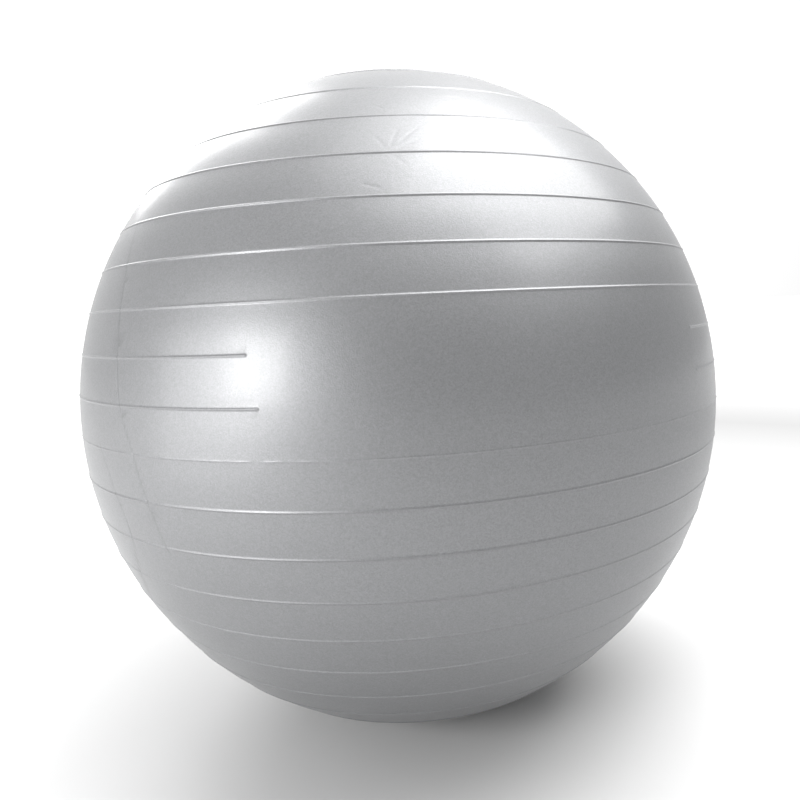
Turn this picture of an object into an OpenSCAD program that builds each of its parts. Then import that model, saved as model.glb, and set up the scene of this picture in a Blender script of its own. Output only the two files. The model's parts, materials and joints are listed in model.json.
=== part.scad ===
// Inflated gym ball: a ribbed, rotationally moulded PVC bladder with a welded-in
// valve sleeve and a push-in plug. Z is the axis through the poles, z = 0 is the
// surface that the ball rests on, -Y faces the plain panel and +Y faces the valve.

/* [Ball] */
// Diameter round the equator, between the ribs
equator_d = 640; // [450:10:850]
// Height through the poles before the rest patch, as a share of the diameter
polar_ratio = 1.035; // [1.000:0.005:1.060]
// Thickness of the inflated wall
wall_t = 1.0; // [0.8:0.1:2]
// Radius of the flat patch that the inflated ball rests on
rest_r = 36; // [30:1:45]

/* [Ribs] */
// Number of ribs on each side of the seam
rib_count = 9; // [4:1:9]
// Height between ribs near the seam, as a share of the equator's radius
rib_step = 0.1110; // [0.1000:0.0002:0.1120]
// Share by which the step closes up, times the square of the rib's number
rib_closing = 0.0005; // [0.0004:0.0001:0.0010]
// Width of a rib at its foot
rib_w = 3.4; // [2:0.2:5]
// Height of a rib above the wall
rib_h = 0.9; // [0.4:0.1:2]

/* [Plain panel] */
// Angle round the ball that the plain panel spans
panel_angle = 68; // [30:1:120]
// Number of ribs above the seam that stop at the panel's sides
panel_ribs = 2; // [1:1:4]

/* [Seam] */
// Width of the moulding seam at its foot
seam_w = 1.6; // [1:0.2:3]
// Height of the moulding seam above the wall
seam_h = 0.4; // [0.2:0.1:1]

/* [Valve] */
// Diameter of the sleeve's flange, fused into the wall
flange_d = 24; // [24:1:30]
// Thickness of the flange
flange_t = 3.2; // [3:0.2:5]
// Outer diameter of the sleeve's tube
tube_d = 12; // [11:0.5:14]
// Length of the tube inside the ball
tube_l = 17; // [12:1:25]
// Diameter of the hole that the plug and the pump's nozzle go into
bore_d = 7.5; // [6:0.1:8]
// Gap between the plug's shank and the hole, on the radius
plug_gap = 0.05; // [0.02:0.01:0.10]
// Diameter of the plug's head
head_d = 14; // [12:0.5:16]
// Thickness of the plug's head
head_t = 1.8; // [1.4:0.2:2.4]
// Length of the plug's shank, with its tip
shank_l = 23; // [18:1:26]

/* [Hidden] */
$fn = 96;

equator_r = equator_d / 2;
polar_r = equator_r * polar_ratio;
inner_equator_r = equator_r - wall_t;
inner_polar_r = polar_r - wall_t;

// The wall is an ellipse turned about Z. A point on it is given by the ellipse's
// own angle, 0 at the equator and 90 at the upper pole.
rest_angle = -acos(rest_r / equator_r);
centre_z = -polar_r * sin(rest_angle);
inner_rest_angle = asin((wall_t - centre_z) / inner_polar_r);

// Largest angle between two points of the outer and of the inner outline
outer_step = 3.6;
inner_step = 4;

// Depth to which a rib that stops at the panel is rooted in the wall
rib_root = wall_t * 0.4;

// The valve is midway between the first two ribs above the seam, at the back
valve_angle = asin(1.5 * rib_step / polar_ratio);
valve_lean = atan2(equator_r * sin(valve_angle), polar_r * cos(valve_angle));

// How far the flange's face lies below the ball's surface
flange_drop = 0.3;
// The recess that the plug's head sits in
recess_depth = 1.6;
recess_gap = 0.3;
// The notch that lets a thumb nail under the head
notch_d = 6;
// The plug's tip, which finds the hole
tip_l = 7;
tip_d = 5;
// The bevel round the plug's head
head_bevel = 0.5;
// Cutting solids run past the faces they cut
past = 1;

silver = [0.68, 0.69, 0.71];
white = [0.93, 0.93, 0.91];

// Angle of rib k on the ellipse: 0 is the seam, and past the last rib lie the
// rest patch below and the pole above
function rib_angle(k) =
    k < -rib_count ? rest_angle :
    k > rib_count ? 90 :
    asin(k * rib_step * (1 - rib_closing * k * k) / polar_ratio);

// Point of the wall at angle t, moved outwards by out
function wall_point(t, out = 0) =
    let (normal = [polar_r * cos(t), equator_r * sin(t)])
    [equator_r * cos(t), polar_r * sin(t)] + out * normal / norm(normal);

// Half the width w at angle t, as an angle
function half_width(t, w) =
    w / 2 / norm([equator_r * sin(t), polar_r * cos(t)]) * 180 / PI;

// Width of the ridge that runs all the way round at k, and 0 where there is none
function ridge_w(k) =
    k == 0 ? seam_w :
    abs(k) > rib_count || (k > 0 && k <= panel_ribs) ? 0 : rib_w;

// Outline of a ridge of width w and height h at angle t
function ridge(t, w, h) =
    let (a = half_width(t, w))
    [wall_point(t - a), wall_point(t - a / 2, h), wall_point(t + a / 2, h), wall_point(t + a)];

// Outline at k: a rib, the seam, or one point of the plain wall
function outline_at(k) =
    ridge_w(k) == 0 ? [wall_point(rib_angle(k))] :
    ridge(rib_angle(k), ridge_w(k), k == 0 ? seam_h : rib_h);

// Points of the plain wall between k and the next one
function band(k) =
    let (low = rib_angle(k) + half_width(rib_angle(k), ridge_w(k)))
    let (high = rib_angle(k + 1) - half_width(rib_angle(k + 1), ridge_w(k + 1)))
    let (count = ceil((high - low) / outer_step))
    [for (i = [1 : count - 1]) wall_point(low + (high - low) * i / count)];

// Inside of the wall, from the pole down to the rest patch
inner_count = ceil((90 - inner_rest_angle) / inner_step);
inner_outline = [
    for (i = [0 : inner_count])
        let (t = 90 + (inner_rest_angle - 90) * i / inner_count)
        [inner_equator_r * cos(t), inner_polar_r * sin(t)]
];

// Half section of the wall, with the ribs that run all the way round
module wall_section() {
    translate([0, centre_z])
        polygon(concat(
            [[0, -centre_z]],
            [for (k = [-rib_count - 1 : rib_count]) each concat(outline_at(k), band(k))],
            outline_at(rib_count + 1),
            inner_outline,
            [[0, wall_t - centre_z]]
        ));
}

// Section of rib k alone, rooted in the wall
module rib_section(k) {
    t = rib_angle(k);
    a = half_width(t, rib_w);
    translate([0, centre_z])
        polygon(concat(
            [wall_point(t - a, -rib_root)],
            ridge(t, rib_w, rib_h),
            [wall_point(t + a, -rib_root)]
        ));
}

// Moves a shape drawn about Z to the valve, with z = 0 on the ball's surface
module at_valve() {
    place = wall_point(valve_angle);
    translate([0, place[0], centre_z + place[1]])
        rotate([valve_lean - 90, 0, 0])
            children();
}

// Bladder: one wall, with the ribs that stop at the plain panel's sides added
module ball_shell() {
    color(silver)
        difference() {
            union() {
                rotate_extrude()
                    wall_section();
                for (k = [1 : panel_ribs])
                    rotate([0, 0, -90 + panel_angle / 2])
                        rotate_extrude(angle = 360 - panel_angle)
                            rib_section(k);
            }
            at_valve()
                translate([0, 0, -flange_t - past])
                    cylinder(d = flange_d, h = flange_t + 2 * past);
        }
}

// Valve insert: a flange with a recess for the plug's head, and the tube behind it
module valve_sleeve() {
    recess_r = head_d / 2 + recess_gap;
    color(silver)
        at_valve()
            difference() {
                translate([0, 0, -flange_drop])
                    mirror([0, 0, 1])
                        union() {
                            cylinder(d = flange_d, h = flange_t);
                            cylinder(d = tube_d, h = flange_t + tube_l);
                        }
                translate([0, 0, -flange_drop - recess_depth])
                    cylinder(r = recess_r, h = recess_depth + past);
                translate([0, -recess_r, -flange_drop - recess_depth])
                    cylinder(d = notch_d, h = recess_depth + past);
                translate([0, 0, -flange_drop - flange_t - tube_l - past])
                    cylinder(d = bore_d, h = flange_t + tube_l + 2 * past);
            }
}

// Plug: a bevelled disc head on a shank that tapers at its tip
module valve_plug() {
    seat_z = -flange_drop - recess_depth;
    shank_r = bore_d / 2 - plug_gap;
    color(white)
        at_valve()
            translate([0, 0, seat_z])
                rotate_extrude()
                    polygon([
                        [0, -shank_l],
                        [tip_d / 2, -shank_l],
                        [shank_r, tip_l - shank_l],
                        [shank_r, 0],
                        [head_d / 2, 0],
                        [head_d / 2, head_t - head_bevel],
                        [head_d / 2 - head_bevel, head_t],
                        [0, head_t]
                    ]);
}

ball_shell();
valve_sleeve();
valve_plug();
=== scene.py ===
"""An inflated gym ball, its valve sleeve and its plug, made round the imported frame."""
import json
import math

import bmesh
import bpy
import numpy as np
from mathutils import Matrix, Vector


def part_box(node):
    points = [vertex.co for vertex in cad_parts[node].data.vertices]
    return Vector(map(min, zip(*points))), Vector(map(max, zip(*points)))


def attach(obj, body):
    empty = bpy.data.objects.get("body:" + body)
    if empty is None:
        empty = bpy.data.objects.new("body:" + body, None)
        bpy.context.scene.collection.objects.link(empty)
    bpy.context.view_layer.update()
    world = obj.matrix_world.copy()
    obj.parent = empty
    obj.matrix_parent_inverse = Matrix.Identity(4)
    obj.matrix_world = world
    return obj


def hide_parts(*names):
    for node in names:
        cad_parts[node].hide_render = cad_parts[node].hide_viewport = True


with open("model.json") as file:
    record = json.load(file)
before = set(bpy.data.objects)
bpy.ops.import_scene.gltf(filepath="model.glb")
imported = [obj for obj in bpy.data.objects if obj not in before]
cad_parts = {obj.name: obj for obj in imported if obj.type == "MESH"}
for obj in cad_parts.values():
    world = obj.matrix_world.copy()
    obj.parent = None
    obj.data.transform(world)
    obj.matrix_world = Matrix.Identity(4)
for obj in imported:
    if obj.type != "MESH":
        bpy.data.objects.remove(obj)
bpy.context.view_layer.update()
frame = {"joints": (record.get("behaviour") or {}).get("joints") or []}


# ---- Bladder: the wall ----------------------------------------------------------------
# The ball is one hollow soft PVC moulding, turned out of a two-part mould and pumped up
# until it is round. It is a little taller through its poles than it is wide, and it goes
# flat where it rests on the floor. Z is the axis through the poles.

WALL = 0.001
REST_RADIUS = 0.036
SEAM_HEIGHT = 0.0004

shell_low, shell_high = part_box("ball_shell")
equator = (shell_high[0] - shell_low[0]) / 2 - SEAM_HEIGHT
rest_sine = -math.sqrt(1 - (REST_RADIUS / equator) ** 2)
polar = shell_high[2] / (1 - rest_sine)
centre = Vector((0, 0, -polar * rest_sine))


def wall_point(angle, turn, out=0.0):
    """Points that lie out metres outside the wall. angle is the ellipse's own, up from the seam."""
    normal = np.stack([polar * np.cos(angle), equator * np.sin(angle)])
    normal = normal / np.linalg.norm(normal, axis=0)
    reach = equator * np.cos(angle) + out * normal[0]
    height = polar * np.sin(angle) + out * normal[1] + centre.z
    return np.stack([reach * np.cos(turn), reach * np.sin(turn), height], axis=-1)


def per_angle(angle):
    """Metres along the wall for one radian of angle."""
    return np.hypot(equator * np.sin(angle), polar * np.cos(angle))


# ---- Bladder: the rings and the seam ----------------------------------------------------
# Raised rings are moulded round the ball, closer together towards the poles. The first
# two above the seam stop at the sides of a plain panel, which faces -Y. The seam is the
# thin uneven flash where the two halves of the mould met.

RING_COUNT = 9
RING_STEP = 0.1110
RING_CLOSING = 0.0005
RING_WIDTH = 0.0028
RING_HEIGHT = 0.00058
RING_END = 0.0016
RING_LEAN = 0.0045
PANEL_RINGS = 2
PANEL_HALF = math.radians(34)
PANEL_MIDDLE = -math.pi / 2
SEAM_WIDTH = 0.0016


def ring_angle(k):
    return math.asin(k * RING_STEP * (1 - RING_CLOSING * k * k) * equator / polar)


def past_panel(turn):
    """How far inside the plain panel's side a turn is, in metres. It is negative outside the panel."""
    away = np.abs((turn - PANEL_MIDDLE + math.pi) % (2 * math.pi) - math.pi)
    return (PANEL_HALF - away) * equator


def ridge(across, width, height):
    """Height of a narrow-crested ridge at a distance across it, with a soft foot."""
    side = np.minimum(1, np.abs(across) / (width / 2))
    return height * (1 - side**1.25) ** 1.3


def relief(angle, turn):
    """How far the moulded rings and the seam stand out of the wall."""
    out = np.zeros_like(angle)
    for k in range(-RING_COUNT, RING_COUNT + 1):
        across = (angle - ring_angle(k)) * per_angle(angle)
        if k == 0:
            flash = 0.5 + 0.25 * np.sin(11 * turn) * np.sin(4.3 * turn + 1) + 0.25 * np.sin(83 * turn + 2)
            out += ridge(across, SEAM_WIDTH, SEAM_HEIGHT * flash)
        elif 0 < k <= PANEL_RINGS:
            lean = (2 * k - PANEL_RINGS - 1) * RING_LEAN
            past = past_panel(turn) + np.where(turn < PANEL_MIDDLE, lean, 0)
            blunt = np.clip(0.5 - past / RING_END, 0, 1)
            swell = 1 + 0.2 * np.exp(-(((past + RING_END) / 0.002) ** 2))
            out += ridge(across / swell, RING_WIDTH, RING_HEIGHT) * blunt * blunt * (3 - 2 * blunt)
        else:
            out += ridge(across, RING_WIDTH, RING_HEIGHT)
    return out


# ---- Bladder: folds from its box ------------------------------------------------------------
# The vinyl was folded flat before it was first pumped up. The sharpest folds stay as fine
# creases in the wall: two long ones near the panel's left side and a star near the pole.
# The wall also stays a little uneven, with a shallow dent low down on the left.

CREASE_WIDTH = 0.0018
LEFT_CREASE = [
    (-67.5, 0.60), (-62, 0.43), (-59.5, 0.285), (-57.6, 0.12), (-55, 0.01), (-53, -0.12), (-51.4, -0.23),
]
LOW_CREASE = [(-64.8, 0.01), (-62.3, -0.08), (-60.3, -0.2), (-62.4, -0.29), (-66.2, -0.4), (-71.4, -0.51)]
STAR = (-16, 0.655)
STAR_RAYS = [(12, 0.02), (75, 0.030), (52, 0.075), (31, 0.045), (-48, 0.022), (196, 0.05), (118, 0.022)]
KNOTS = [((-18.4, 0.790), (-16.6, 0.778)), ((-20.2, 0.578), (-17.4, 0.566)), ((-2.6, 0.822), (1.4, 0.822))]
DENT = (-63.5, -0.585)
DENT_SIZE = (0.055, 0.055, 0.022)
DENT_DEPTH = 0.0016
UNEVEN = 0.00035


def on_ball(around, up):
    """The angle and turn of a place: degrees round from the panel's middle, and height above
    the seam as a share of the equator's radius."""
    return math.asin(up * equator / polar), PANEL_MIDDLE + math.radians(around)


def place_on_ball(around, up):
    return Vector(wall_point(*on_ball(around, up)))


def course(stops, steps=14):
    """Points of a smooth line on the wall through its stops."""
    ends = [np.array(s, float) for s in (stops[0], *stops, stops[-1])]
    line = []
    for a, b, c, d in zip(ends, ends[1:], ends[2:], ends[3:]):
        for t in np.linspace(0, 1, steps, endpoint=False):
            bend = (2 * a - 5 * b + 4 * c - d) * t**2 + (3 * b - 3 * c + d - a) * t**3
            line.append(b + ((c - a) * t + bend) / 2)
    return np.array([place_on_ball(*p) for p in line + [ends[-1]]])


def star_rays():
    """Straight creases that run out from the star's middle, each at its own slant."""
    middle = place_on_ball(*STAR)
    outward = (middle - centre).normalized()
    right = Vector((0, 0, 1)).cross(outward).normalized()
    upward = outward.cross(right)
    for slant, length in STAR_RAYS:
        way = right * math.cos(math.radians(slant)) + upward * math.sin(math.radians(slant))
        yield np.array([middle + way * (0.003 + (length - 0.003) * s) for s in np.linspace(0, 1, 8)])


# Each crease: its course, its depth and its width. The two long ones come first.
creases = [(course(LEFT_CREASE), 0.00035, CREASE_WIDTH), (course(LOW_CREASE), 0.00030, CREASE_WIDTH)]
creases += [(line, 0.00016, CREASE_WIDTH * 1.3) for line in star_rays()]
creases += [(course(ends, 5), 0.00020, CREASE_WIDTH) for ends in KNOTS]
LONG_CREASES = 2


def along(points, line):
    """Each point's distance from a line, and how far along the line its nearest place is."""
    start, step = line[:-1], line[1:] - line[:-1]
    from_start = points[:, None] - start
    share = np.clip((from_start * step).sum(-1) / (step**2).sum(-1), 0, 1)
    gap = np.linalg.norm(from_start - share[..., None] * step, axis=-1)
    nearest = gap.argmin(1)
    every = np.arange(len(points))
    return gap[every, nearest], (nearest + share[every, nearest]) / len(start)


def folds(points):
    """How far the creases, the dent and the unevenness move the wall. It only ever goes in."""
    out = np.zeros(len(points))
    for line, depth, width in creases:
        near = np.linalg.norm(points[:, None] - line[::3], axis=-1).min(1) < 0.03
        gap, share = along(points[near], line)
        fade = np.clip(5 * np.minimum(share, 1 - share), 0.15, 1)
        out[near] -= depth * np.exp(-((gap / (width / 2)) ** 2)) * fade
    dent = np.linalg.norm((points - np.array(place_on_ball(*DENT))) / DENT_SIZE, axis=1)
    out -= DENT_DEPTH * np.exp(-(dent**2))
    x, y, z = (points / equator).T
    swell = np.sin(5.1 * x + 2.3 * z + 1) * np.sin(4.4 * y - 3.1 * z)
    swell += np.sin(8.7 * z + 3.3 * x * y + 2) * np.sin(6.3 * x + 0.7)
    return out - UNEVEN * (1 + swell / 2) * np.clip(points[:, 2] / 0.1, 0, 1)


# ---- Bladder: the valve's hole ------------------------------------------------------------
# The sleeve is fused into a round hole at the back, midway between the first two rings
# above the seam. The wall's lip round it is a little rounded. At the valve, side runs
# round the ball and down runs towards the floor.

HOLE_RADIUS = 0.012
LIP = 0.0006

valve_angle = math.asin(1.5 * RING_STEP * equator / polar)
valve_seat = Vector(wall_point(valve_angle, math.pi / 2))
valve_axis = Vector(frame["joints"][0]["axis"]).normalized()
valve_side = Vector((1, 0, 0))
valve_down = valve_axis.cross(valve_side)


def at_valve(radius, slant, height):
    """A point a radius from the valve's axis, at a slant round it and a height out of the wall."""
    return (valve_seat + valve_side * (radius * math.cos(slant)) + valve_down * (radius * math.sin(slant))
            + valve_axis * height)


# ---- Bladder: its mesh ---------------------------------------------------------------------
# Both faces of the wall are grids of rings and meridians. The outer grid is closest
# across each moulded ring, at the ends of the short ones and along the creases. The two
# faces are joined round the valve's hole.

RING_STATIONS = [s * 0.001 for s in (-1.8, -1.35, -1.0, -0.7, -0.4, -0.15, 0, 0.15, 0.4, 0.7, 1.0, 1.35, 1.8)]
SEAM_STATIONS = [s * 0.001 for s in (-1.4, -0.8, -0.4, 0, 0.4, 0.8, 1.4)]
LEFT_STATIONS = [s * 0.001 for s in (-7, -5.8, -5.1, -4.4, -3.7, -2.6, 0, 2.6, 3.7, 4.4, 5.1, 5.8, 7)]
RIGHT_STATIONS = [s * 0.001 for s in (3, 1.8, 1, 0.4, -0.4, -1, -1.8, -3)]
BAND_CELLS = 5
VALVE_BAND_CELLS = 10
VALVE_COLUMNS = 14
VALVE_HALF_WIDTH = 0.019
POLE_CELLS = 20
MERIDIAN_STEP = math.radians(2.2)


def between(low, high, count):
    """count - 1 values spaced evenly between low and high, without the two."""
    return [low + (high - low) * i / count for i in range(1, count)]


def outer_angles():
    """Angles of the outer grid's rings, and the indices of the two that bound the valve."""
    angles, last, window = [], -math.pi / 2, None
    for k in range(-RING_COUNT, RING_COUNT + 1):
        middle = ring_angle(k)
        stations = [middle + s / per_angle(middle) for s in (RING_STATIONS if k else SEAM_STATIONS)]
        cells = POLE_CELLS if k == -RING_COUNT else VALVE_BAND_CELLS if k == 2 else BAND_CELLS
        if k == 2:
            window = (len(angles) - 1, len(angles) - 1 + VALVE_BAND_CELLS)
        angles += between(last, stations[0], cells) + stations
        last = angles[-1]
    return angles + between(last, math.pi / 2, POLE_CELLS), window


def meridians():
    """Turns of the meridians, from one side of the valve right round to the other."""
    half = VALVE_HALF_WIDTH / (equator * math.cos(valve_angle))
    turns = [-1.5 * math.pi - half] + between(-1.5 * math.pi - half, -1.5 * math.pi + half, VALVE_COLUMNS)
    turns.append(-1.5 * math.pi + half)
    left = [PANEL_MIDDLE - PANEL_HALF + s / equator for s in LEFT_STATIONS]
    right = [PANEL_MIDDLE + PANEL_HALF - s / equator for s in RIGHT_STATIONS]
    for stops in (left, right, [math.pi / 2 - half]):
        cells = math.ceil((stops[0] - turns[-1]) / MERIDIAN_STEP)
        turns += between(turns[-1], stops[0], cells) + stops
    return turns[:-1]


def new_vertex(mesh, angle, turn):
    vertex = mesh.verts.new()
    vertex[mesh.verts.layers.float["angle"]] = angle
    vertex[mesh.verts.layers.float["turn"]] = turn
    return vertex


def grid(mesh, angles, turns, window):
    """Adds one face of the wall, and returns the loop of vertices round the valve's window."""
    low, high = window
    rows = []
    for i, angle in enumerate(angles):
        hidden = range(1, VALVE_COLUMNS) if low < i < high else ()
        row = [None if j in hidden else new_vertex(mesh, angle, turn) for j, turn in enumerate(turns)]
        rows.append(row)
    for i, (row, above) in enumerate(zip(rows, rows[1:])):
        for j in range(VALVE_COLUMNS if low <= i < high else 0, len(turns)):
            n = (j + 1) % len(turns)
            mesh.faces.new((row[j], row[n], above[n], above[j]))
    for row, pole in ((rows[0], -math.pi / 2), (rows[-1], math.pi / 2)):
        tip = new_vertex(mesh, pole, 0)
        for j in range(len(row)):
            mesh.faces.new((row[j], row[(j + 1) % len(row)], tip))
    return (rows[low][:VALVE_COLUMNS] + [row[VALVE_COLUMNS] for row in rows[low:high]]
            + rows[high][VALVE_COLUMNS:0:-1] + [row[0] for row in rows[high:low:-1]])


def hole_ring(mesh, loop, radius, share, depth):
    """A ring of vertices that lies a share of the way from the window's loop to a circle."""
    ring = []
    for vertex in loop:
        angle = vertex[mesh.verts.layers.float["angle"]]
        turn = vertex[mesh.verts.layers.float["turn"]]
        edge = Vector(wall_point(angle, turn, -depth)) - valve_seat
        x, y = edge.dot(valve_side), edge.dot(valve_down)
        reach = math.hypot(x, y)
        point = at_valve(reach + (radius - reach) * share, math.atan2(y, x), 0) - centre
        tall = math.atan2(point.z / (polar - depth), math.hypot(point.x, point.y) / (equator - depth))
        ring.append(new_vertex(mesh, tall, math.atan2(point.y, point.x)))
    return ring


def bridge(mesh, first, second):
    """Faces between two loops of the same length."""
    for a, b, c, d in zip(first, first[1:] + first[:1], second[1:] + second[:1], second):
        mesh.faces.new((a, b, c, d))


def refine(mesh, distance, reaches, level=False):
    """Halves the edges that have both ends within reach of something, once for each reach."""
    for reach in reaches:
        angle = np.array([v[mesh.verts.layers.float["angle"]] for v in mesh.verts])
        turn = np.array([v[mesh.verts.layers.float["turn"]] for v in mesh.verts])
        near = distance(angle, turn) < reach
        mesh.verts.index_update()
        edges = []
        for edge in mesh.edges:
            a, b = (vertex.index for vertex in edge.verts)
            slanted = abs(angle[a] - angle[b]) > 1e-5
            round_the_back = abs(turn[a] - turn[b]) > math.pi
            if near[a] and near[b] and not (level and slanted) and not round_the_back:
                edges.append(edge)
        bmesh.ops.subdivide_edges(mesh, edges=edges, cuts=1, use_grid_fill=True)


def crease_distance(angle, turn, some):
    """How far each place on the wall is from the nearest of some creases."""
    points = wall_point(angle, turn)
    gaps = np.full(len(points), 1.0)
    for line, _, _ in some:
        near = np.linalg.norm(points[:, None] - line[::3], axis=-1).min(1) < 0.06
        gaps[near] = np.minimum(gaps[near], along(points[near], line)[0])
    return gaps


def long_crease_distance(angle, turn):
    return crease_distance(angle, turn, creases[:LONG_CREASES])


def short_crease_distance(angle, turn):
    return crease_distance(angle, turn, creases[LONG_CREASES:])


def seam_distance(angle, turn):
    """How far each place on the wall is from the seam."""
    return np.abs(angle) * polar


def mark_creases(mesh):
    """Marks how close each vertex is to a crease, for the painted shade that darkens the wall's colour along
    it.
    """
    painted_crease_shade = mesh.verts.layers.float["painted_crease_shade"]
    angle = np.array([v[mesh.verts.layers.float["angle"]] for v in mesh.verts])
    turn = np.array([v[mesh.verts.layers.float["turn"]] for v in mesh.verts])
    gaps = long_crease_distance(angle, turn)
    for vertex, gap in zip(mesh.verts, gaps):
        vertex[painted_crease_shade] = math.exp(-((gap / (CREASE_WIDTH / 2)) ** 2))


def settle(mesh, vertices, depth, moved, floor):
    """Puts vertices in their places on one face of the wall. None goes lower than the floor."""
    angle = np.array([v[mesh.verts.layers.float["angle"]] for v in vertices])
    turn = np.array([v[mesh.verts.layers.float["turn"]] for v in vertices])
    out = relief(angle, turn) + folds(wall_point(angle, turn)) if moved else np.zeros(len(angle))
    places = wall_point(angle, turn, out - depth)
    places[:, 2] = np.maximum(places[:, 2], floor)
    for vertex, place in zip(vertices, places):
        vertex.co = place


bladder = bmesh.new()
bladder.verts.layers.float.new("angle")
bladder.verts.layers.float.new("turn")
bladder.verts.layers.float.new("painted_crease_shade")
hole = bladder.verts.layers.int.new("hole")
columns = meridians()
angles, window = outer_angles()
rings = [grid(bladder, angles, columns, window)]
for share in (0.35, 0.65, 0.85, 1):
    rings.append(hole_ring(bladder, rings[0], HOLE_RADIUS + LIP, share, 0))
    bridge(bladder, rings[-2], rings[-1])
for i, vertex in enumerate(rings[-1]):
    vertex[hole] = i + 1
settle(bladder, list(bladder.verts), 0, False, 0)
refine(bladder, long_crease_distance, (0.012, 0.007, 0.004, 0.003), level=True)
refine(bladder, short_crease_distance, (0.010, 0.007, 0.005))
refine(bladder, seam_distance, (0.0012, 0.0012), level=True)
mark_creases(bladder)
settle(bladder, list(bladder.verts), 0, True, 0)

hole_edge = sorted((v for v in bladder.verts if v[hole]), key=lambda v: v[hole])
lip = [hole_edge]
for inset, sunk in ((0.35, 0.07), (0.1, 0.25), (0, 0.6)):
    lip.append([])
    for vertex in hole_edge:
        spoke = vertex.co - valve_seat
        spoke -= valve_axis * spoke.dot(valve_axis)
        inward = spoke.normalized() * (HOLE_RADIUS + LIP * inset - spoke.length)
        lip[-1].append(bladder.verts.new(vertex.co + inward - valve_axis * LIP * sunk))
    bridge(bladder, lip[-2], lip[-1])

inside_count = len(bladder.verts)
inner_angles = between(-math.pi / 2, angles[window[0]], 16) + angles[window[0]:window[1] + 1]
inner_angles += between(angles[window[1]], math.pi / 2, 18)
inner = grid(bladder, inner_angles, columns, (15, 15 + VALVE_BAND_CELLS))
rim = hole_ring(bladder, inner, HOLE_RADIUS, 1, WALL)
bridge(bladder, inner, rim)
bridge(bladder, lip[-1], rim)
settle(bladder, list(bladder.verts)[inside_count:], WALL, False, WALL)
bmesh.ops.recalc_face_normals(bladder, faces=bladder.faces)


def piece(name, shape, body, finish, *nodes):
    """Turns a bmesh into a smooth piece that rides on a body and stands for CAD nodes."""
    data = bpy.data.meshes.new(name)
    shape.to_mesh(data)
    shape.free()
    data.shade_smooth()
    data.materials.append(finish)
    made = bpy.data.objects.new(name, data)
    bpy.context.scene.collection.objects.link(made)
    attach(made, body)
    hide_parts(*nodes)
    return made


# ---- Bladder: its finish ---------------------------------------------------------------------
# Silver pearl PVC. Bright flakes lie in the vinyl under a satin skin, which has the fine
# grain of the mould. Its colour is darkened along the long creases, as painted shade.

class Wire:
    """A shader socket that Python's operators turn into Math nodes."""

    def __init__(self, finish, socket):
        self.finish, self.socket = finish, socket

    def math(self, operation, *inputs):
        return self.finish.node("ShaderNodeMath", {"operation": operation}, dict(enumerate(inputs)))

    def __add__(self, other):
        return self.math("ADD", self, other)

    def __rsub__(self, other):
        return self.math("SUBTRACT", other, self)

    def __mul__(self, other):
        return self.math("MULTIPLY", self, other)

    def __pow__(self, other):
        return self.math("POWER", self, other)

    __radd__, __rmul__ = __add__, __mul__


class Finish:
    """One material, made a node at a time."""

    def __init__(self, name):
        self.material = bpy.data.materials.new(name)
        self.material.use_nodes = True
        self.tree = self.material.node_tree
        self.tree.nodes.clear()

    def node(self, kind, settings=None, sockets=None, out=0):
        """Adds a node: its settings, then its sockets' values or wires. Returns one of its outputs."""
        made = self.tree.nodes.new(kind)
        for name, value in (settings or {}).items():
            setattr(made, name, value)
        for name, value in (sockets or {}).items():
            if isinstance(value, Wire):
                self.tree.links.new(value.socket, made.inputs[name])
            else:
                made.inputs[name].default_value = value
        return Wire(self, made.outputs[out]) if made.outputs else None

    def noise(self, place, scale, detail):
        return self.node("ShaderNodeTexNoise", None, {"Vector": place, "Scale": scale, "Detail": detail})

    def ramp(self, value, low, high, top):
        """Rises from nothing to top as the value goes from low to high."""
        return self.node("ShaderNodeMapRange", None,
                         {"Value": value, "From Min": low, "From Max": high, "To Max": top})

    def tinted(self, colour, amount):
        """A colour made lighter or darker by an amount that varies over the surface."""
        return self.node("ShaderNodeMix", {"data_type": "RGBA", "blend_type": "MULTIPLY"},
                         {0: 1.0, 6: (*colour, 1), 7: amount}, out=2)

    def skin(self, sockets):
        """A Principled shader to the surface. Returns the finished material."""
        shader = self.node("ShaderNodeBsdfPrincipled", None, sockets)
        self.node("ShaderNodeOutputMaterial", None, {"Surface": shader})
        return self.material


PEARL = (0.228, 0.231, 0.237)


def pearl_vinyl():
    f = Finish("pearl_vinyl")
    place = f.node("ShaderNodeTexCoord", out=3)
    grain = f.noise(place, 1000, 2)
    cloud = f.noise(place, 7, 3)
    flake = f.node("ShaderNodeTexVoronoi", None, {"Vector": place, "Scale": 900}, out=1)
    sparkle = f.node("ShaderNodeSeparateColor", None, {"Color": flake})
    painted_crease_shade = f.node("ShaderNodeAttribute", {"attribute_name": "painted_crease_shade"}, out=2)
    bump = f.node("ShaderNodeBump", None, {"Strength": 0.5, "Distance": 0.0002, "Height": grain})
    tone = 0.72 + cloud * 0.08 + sparkle * 0.12 + grain * 0.36
    return f.skin({
        # Painted shade: the base colour is darker along the long creases.
        "Base Color": f.tinted(PEARL, tone * (1 - painted_crease_shade * 0.18)),
        "Metallic": 0.6,
        "Roughness": 0.45 + cloud * 0.05,
        "Coat Weight": 0.3,
        "Coat Roughness": 0.2,
        "Normal": bump,
    })


shell = piece("bladder", bladder, "bladder", pearl_vinyl(), "ball_shell")


# ---- Valve sleeve -------------------------------------------------------------------------------
# A thick flange of plain PVC, fused into the wall's hole, with a tube behind it that grips
# the plug. The plug's head sits in a round recess, with a notch on its upper side for a
# thumb nail. Its edges are rounded and its face has a low moulded ring.

SLEEVE_SLANTS = 144
SLEEVE_ROUND = 0.0003
BEAD_RADIUS = 0.01125
FLANGE_RADIUS = HOLE_RADIUS - 0.00003
FLANGE_FACE = -0.0003
FLANGE_BACK = -0.0035
RECESS_RADIUS = 0.0073
RECESS_FLOOR = -0.0019
NOTCH_RADIUS = 0.003
TUBE_RADIUS = 0.006
TUBE_END = -0.0205
BORE_RADIUS = 0.00375


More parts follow.
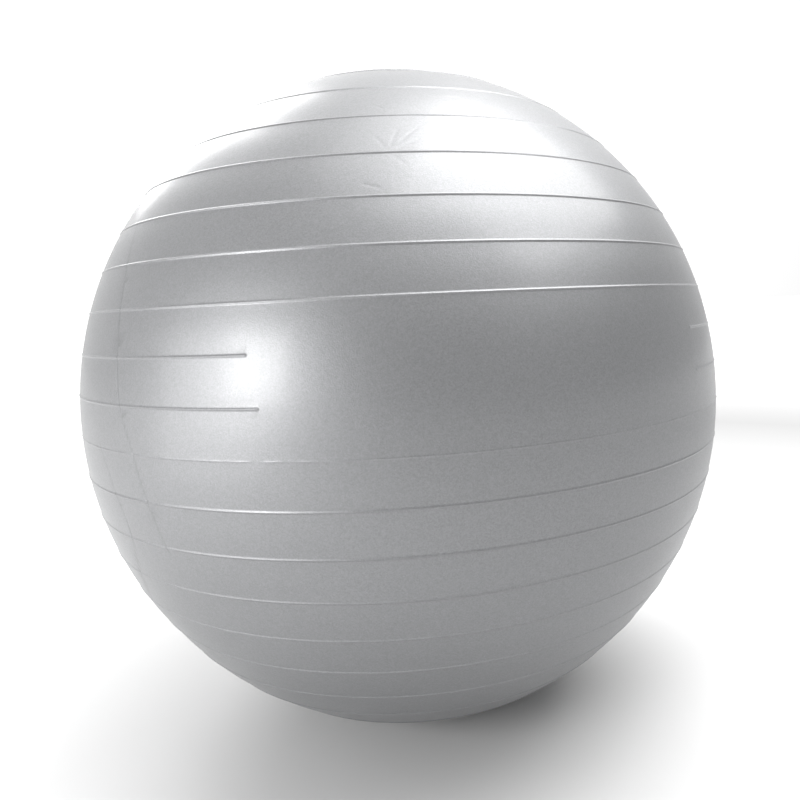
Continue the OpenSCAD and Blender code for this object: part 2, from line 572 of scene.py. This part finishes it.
def recess_reach(slant):
    """Radius of the recess's edge at a slant round the valve. The notch bulges out at the top."""
    off = slant + math.pi / 2
    across = RECESS_RADIUS * math.sin(off)
    if math.cos(off) < 0 or abs(across) >= NOTCH_RADIUS:
        return RECESS_RADIUS
    notch = RECESS_RADIUS * math.cos(off) + math.sqrt(NOTCH_RADIUS**2 - across**2)
    return max(RECESS_RADIUS, notch)


def corner(radius, height, size, start, steps=4):
    """A quarter round of a section: radius and height of its centre, and its first angle."""
    turns = [math.radians(start + 90 * i / steps) for i in range(steps + 1)]
    return [(radius + size * math.cos(t), height + size * math.sin(t)) for t in turns]


def lathe(section_at, slants):
    """A closed solid: the same section's stations, joined from each slant to the next."""
    mesh = bmesh.new()
    loops = []
    for slant in slants:
        loops.append([mesh.verts.new(at_valve(r, slant, z)) for r, z in section_at(slant)])
    for loop, following in zip(loops, loops[1:] + loops[:1]):
        bridge(mesh, loop, following)
    bmesh.ops.remove_doubles(mesh, verts=mesh.verts, dist=1e-7)
    bmesh.ops.delete(mesh, geom=[e for e in mesh.edges if not e.link_faces], context="EDGES")
    bmesh.ops.recalc_face_normals(mesh, faces=mesh.faces)
    return mesh


def sleeve_section(slant):
    """Radius and height out of the wall, from the flange's edge over the face and back."""
    edge = recess_reach(slant)
    r = SLEEVE_ROUND
    face = corner(FLANGE_RADIUS - r, FLANGE_FACE - r, r, 0)
    bead = [(BEAD_RADIUS + x * 0.0001, FLANGE_FACE + z * 0.0001)
            for x, z in ((2, 0.1), (1, 1.2), (0, 1.6), (-1, 1.2), (-2, 0.1))]
    recess = [(edge + r - x, z) for x, z in ((0, FLANGE_FACE), (0.4 * r, FLANGE_FACE - 0.08 * r),
                                             (0.8 * r, FLANGE_FACE - 0.4 * r), (r, FLANGE_FACE - r))]
    foot = [(edge - r + x, z) for x, z in ((r, RECESS_FLOOR + r), (0.7 * r, RECESS_FLOOR + 0.3 * r),
                                           (0, RECESS_FLOOR))]
    mouth = [(BORE_RADIUS + r, RECESS_FLOOR), (BORE_RADIUS + 0.3 * r, RECESS_FLOOR - 0.3 * r),
             (BORE_RADIUS, RECESS_FLOOR - r)]
    end = [(BORE_RADIUS, TUBE_END + r), (BORE_RADIUS + r, TUBE_END)]
    end += corner(TUBE_RADIUS - r, TUBE_END + r, r, -90)
    back = [(TUBE_RADIUS, FLANGE_BACK - 3 * r), (TUBE_RADIUS + r, FLANGE_BACK - r),
            (TUBE_RADIUS + 3 * r, FLANGE_BACK), (FLANGE_RADIUS - r, FLANGE_BACK),
            (FLANGE_RADIUS, FLANGE_BACK + r)]
    return face + bead + recess + foot + mouth + end + back


def sleeve_vinyl():
    f = Finish("sleeve_vinyl")
    place = f.node("ShaderNodeTexCoord", out=3)
    grain = f.noise(place, 900, 3)
    cloud = f.noise(place, 60, 3)
    bump = f.node("ShaderNodeBump", None, {"Strength": 0.4, "Distance": 0.0001, "Height": grain})
    return f.skin({
        "Base Color": f.tinted((0.27, 0.275, 0.285), 0.85 + cloud * 0.2 + grain * 0.1),
        "Roughness": 0.42 + cloud * 0.12,
        "Normal": bump,
    })


slants = [2 * math.pi * i / SLEEVE_SLANTS for i in range(SLEEVE_SLANTS)]
sleeve_shape = lathe(sleeve_section, slants)
sleeve = piece("valve_sleeve_visual", sleeve_shape, "bladder", sleeve_vinyl(), "valve_sleeve")


# ---- Valve plug -----------------------------------------------------------------------------------
# A push-in plug, injection moulded in white polyethylene. Its head has a shallow dish with
# the gate's small stub in the middle. Its shank has two shallow grooves and a tapered tip.

SEAT = RECESS_FLOOR
SHANK_RADIUS = 0.0037
GROOVE = 0.0002
SHANK_END = -0.023
TIP_RADIUS = 0.0025
TIP_LENGTH = 0.007


def plug_section(slant):
    """Radius and height above the seat, from the gate's stub out and down to the tip."""
    stub = [(0, 1.62), (0.35, 1.62), (0.5, 1.5), (0.55, 1.34), (0.8, 1.3)]
    dish = [(2.5, 1.31), (4.2, 1.38), (4.9, 1.5), (5.4, 1.7), (5.8, 1.78)]
    brim = [(6.2, 1.8), (6.5, 1.77), (6.75, 1.64), (6.92, 1.4), (7.0, 1.1)]
    brim += [(7.0, 0.25), (6.93, 0.08), (6.75, 0)]
    section = [(x * 0.001, z * 0.001) for x, z in stub + dish + brim]
    section += [(SHANK_RADIUS + 0.0004, 0), (SHANK_RADIUS, -0.0004)]
    for groove in (-0.0045, -0.0095):
        for step, sunk in ((0.0007, 0), (0.0004, 0.7), (0, 1), (-0.0004, 0.7), (-0.0007, 0)):
            section.append((SHANK_RADIUS - GROOVE * sunk, groove + step))
    taper = SHANK_END + TIP_LENGTH
    section += [(SHANK_RADIUS, taper + 0.0005), (SHANK_RADIUS - 0.00006, taper - 0.0003)]
    section += [(TIP_RADIUS + 0.00015, SHANK_END + 0.0008), (TIP_RADIUS - 0.0001, SHANK_END + 0.0003)]
    section += [(TIP_RADIUS - 0.0006, SHANK_END), (0, SHANK_END)]
    return [(r, SEAT + z) for r, z in section]


def plug_plastic():
    f = Finish("plug_plastic")
    place = f.node("ShaderNodeTexCoord", out=3)
    cloud = f.noise(place, 140, 4)
    scuff = f.noise(place, 1500, 2)
    bump = f.node("ShaderNodeBump", None, {"Strength": 0.3, "Distance": 0.00005, "Height": scuff})
    return f.skin({
        "Base Color": f.tinted((0.58, 0.58, 0.555), 0.92 + cloud * 0.12),
        "Roughness": 0.3 + cloud * 0.15,
        "Normal": bump,
    })


plug = piece("valve_plug_visual", lathe(plug_section, slants[::2]), "plug", plug_plastic(), "valve_plug")


# ---- Floor -------------------------------------------------------------------------------------
# A plain pale studio floor, wide enough to run out of sight. It glows towards the back and
# far away from the ball, as a lit sweep of paper does, so that no edge of it shows.

FLOOR_HALF = 60
FLOOR_DROP = 0.0003
GLOW_WAY = (-0.6, 0.8, 0)
GLOW = 0.75

sheet = bmesh.new()
bmesh.ops.create_grid(sheet, x_segments=8, y_segments=8, size=FLOOR_HALF)
floor_data = bpy.data.meshes.new("floor")
sheet.to_mesh(floor_data)
sheet.free()
floor = bpy.data.objects.new("floor", floor_data)
floor.location.z = -FLOOR_DROP
bpy.context.scene.collection.objects.link(floor)
paint = Finish("floor_paint")
place = paint.node("ShaderNodeTexCoord", out=3)
away = paint.node("ShaderNodeVectorMath", {"operation": "DOT_PRODUCT"}, {0: place, 1: GLOW_WAY}, out=1)
reach = paint.node("ShaderNodeVectorMath", {"operation": "LENGTH"}, {0: place}, out=1)
spill = paint.ramp(away, 0.2, 2.2, 0.8)
far = paint.ramp(reach, 1.8, 3.0, 1.0)
floor_data.materials.append(paint.skin({
    "Base Color": (0.66, 0.66, 0.66, 1),
    "Roughness": 0.9,
    "Specular IOR Level": 0.2,
    "Emission Color": paint.tinted((1, 1, 1), spill + far * (1 - spill)),
    "Emission Strength": GLOW,
}))


# ---- Light ---------------------------------------------------------------------------------------
# A white studio, dimmer on the side of the panel, with soft boxes that face the ball.
# Azimuths are in degrees from +X towards +Y, and elevations in degrees above the floor.

BACK_WALL = 83
ROOM = 0.4
BACK_GLOW = 1.25
CEILING_GLOW = 0.75


class Sky(Finish):
    """The studio's walls and ceiling, as one world shader."""

    def __init__(self, world):
        world.use_nodes = True
        self.tree = world.node_tree
        self.tree.nodes.clear()

    def above(self, value):
        """The value, or nothing where it is negative."""
        return value.math("MAXIMUM", value, 0)


def towards(azimuth, elevation):
    a, e = math.radians(azimuth), math.radians(elevation)
    return Vector((math.cos(a) * math.cos(e), math.sin(a) * math.cos(e), math.sin(e)))


world = bpy.data.worlds.new("studio")
bpy.context.scene.world = world
sky = Sky(world)
direction = sky.node("ShaderNodeTexCoord")
facing_back = {0: direction, 1: towards(BACK_WALL, 20)}
back_wall = sky.node("ShaderNodeVectorMath", {"operation": "DOT_PRODUCT"}, facing_back, out=1)
ceiling = sky.node("ShaderNodeSeparateXYZ", None, {"Vector": direction}, out=2)
glow = ROOM + sky.above(back_wall) ** 1.4 * BACK_GLOW + sky.above(ceiling) ** 4 * CEILING_GLOW
backdrop = sky.node("ShaderNodeBackground", None, {"Strength": glow})
sky.node("ShaderNodeOutputWorld", None, {"Surface": backdrop})


def softbox(name, azimuth, elevation, distance, width, height, power):
    """A soft light that faces the ball's centre from a direction, in metres and watts."""
    data = bpy.data.lights.new(name, "AREA")
    data.shape = "RECTANGLE"
    data.size = width
    data.size_y = height
    data.energy = power
    lamp = bpy.data.objects.new(name, data)
    lamp.location = centre + towards(azimuth, elevation) * distance
    lamp.rotation_mode = "QUATERNION"
    lamp.rotation_quaternion = towards(azimuth, elevation).to_track_quat("Z", "Y")
    bpy.context.scene.collection.objects.link(lamp)


softbox("key", -30, 61, 1.6, 1.45, 1.35, 32)
softbox("overhead", -60, 80, 1.8, 1.6, 1.2, 13)
softbox("side", -150, 14, 1.6, 0.5, 0.5, 12)
softbox("side_fill", -164, 2, 1.7, 1.2, 1.1, 11)
softbox("back", 112, 40, 2.0, 0.7, 1.2, 18)


# ---- Camera ------------------------------------------------------------------------------------
# A short lens close to the ball, a little above its middle and turned slightly askew.
# Distances are in radii of the ball, from its centre.

CAMERA_AZIMUTH = -110.1
CAMERA_ELEVATION = 7.596
CAMERA_ROLL = math.radians(-2.721)
CAMERA_DISTANCE = 2.4116
CAMERA_ASIDE = 0.2352
CAMERA_UP = -0.0096
CAMERA_LENS = 31.26
CAMERA_SHIFT = -0.1

back = towards(CAMERA_AZIMUTH, CAMERA_ELEVATION)
level = Vector((0, 0, 1)).cross(back).normalized()
upright = back.cross(level)
right = level * math.cos(CAMERA_ROLL) + upright * math.sin(CAMERA_ROLL)
up = back.cross(right)
camera_data = bpy.data.cameras.new("camera")
camera_data.lens = CAMERA_LENS
camera_data.shift_x = CAMERA_SHIFT
camera = bpy.data.objects.new("camera", camera_data)
bpy.context.scene.collection.objects.link(camera)
spot = centre + (back * CAMERA_DISTANCE + right * CAMERA_ASIDE + up * CAMERA_UP) * equator
camera.matrix_world = Matrix.Translation(spot) @ Matrix((right, up, back)).transposed().to_4x4()
bpy.context.scene.camera = camera
bpy.context.scene.view_settings.view_transform = "Standard"
